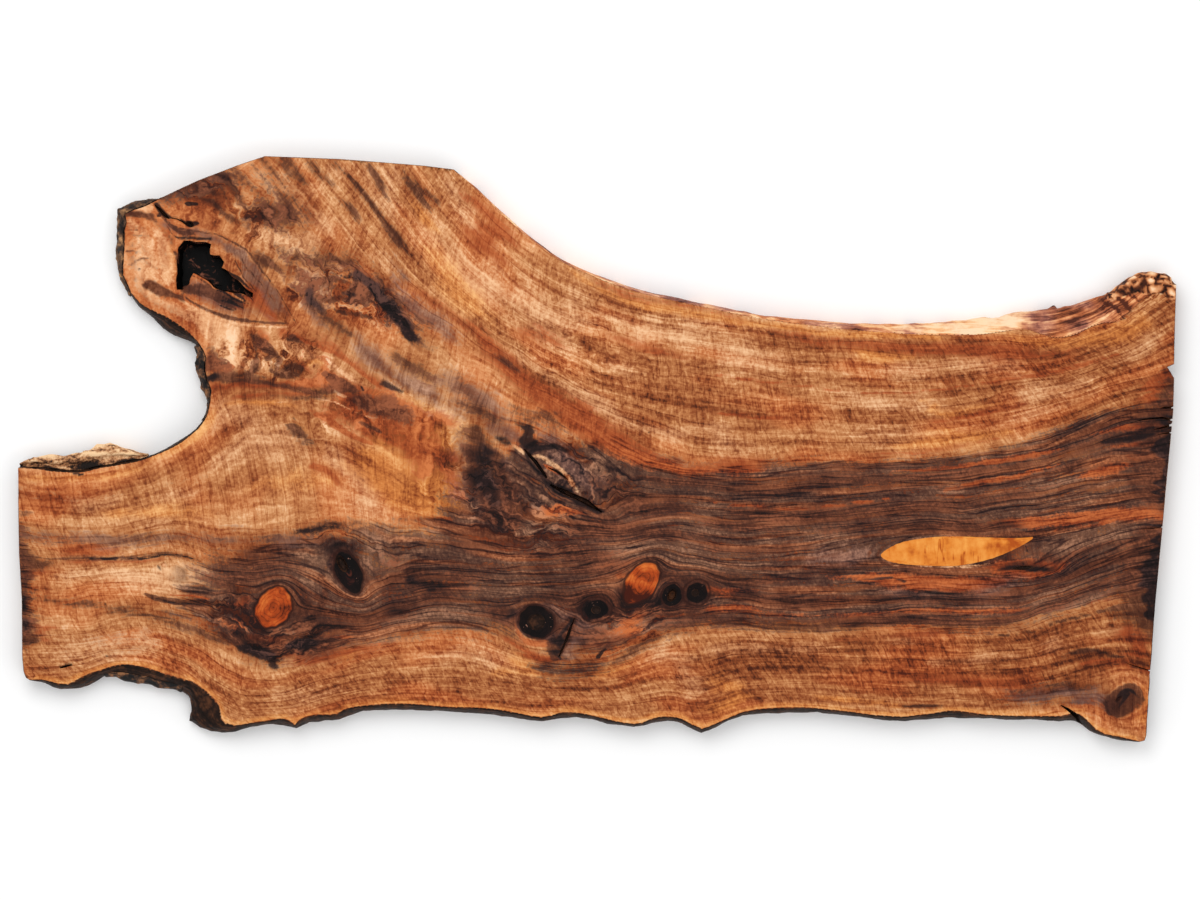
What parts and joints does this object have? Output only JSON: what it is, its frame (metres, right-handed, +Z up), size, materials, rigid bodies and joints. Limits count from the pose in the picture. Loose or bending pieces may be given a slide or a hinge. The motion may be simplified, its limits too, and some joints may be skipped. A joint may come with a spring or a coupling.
{
  "type": "live-edge walnut wood slab",
  "caption": "Live-edge walnut slab lying flat, forked at one end, with knots, a rotted hollow, drying splits and bark clinging to its natural edges.",
  "frame": {"origin": "centre of the bounding box, on the plane of the sawn underside", "axes": "+X along the slab from the forked end to the wide sawn end, +Y across it towards the upper limb, +Z up out of the show face"},
  "size_m": [2.4, 1.2158, 0.06],
  "materials": {
    "walnut": "oiled, satin",
    "bark": "rough, matt"
  },
  "bodies": {
    "root": {"slab": "walnut", "bark_arm": "bark", "bark_crotch": "bark", "bark_stub": "bark", "bark_bay": "bark"}
  },
  "joints": []
}
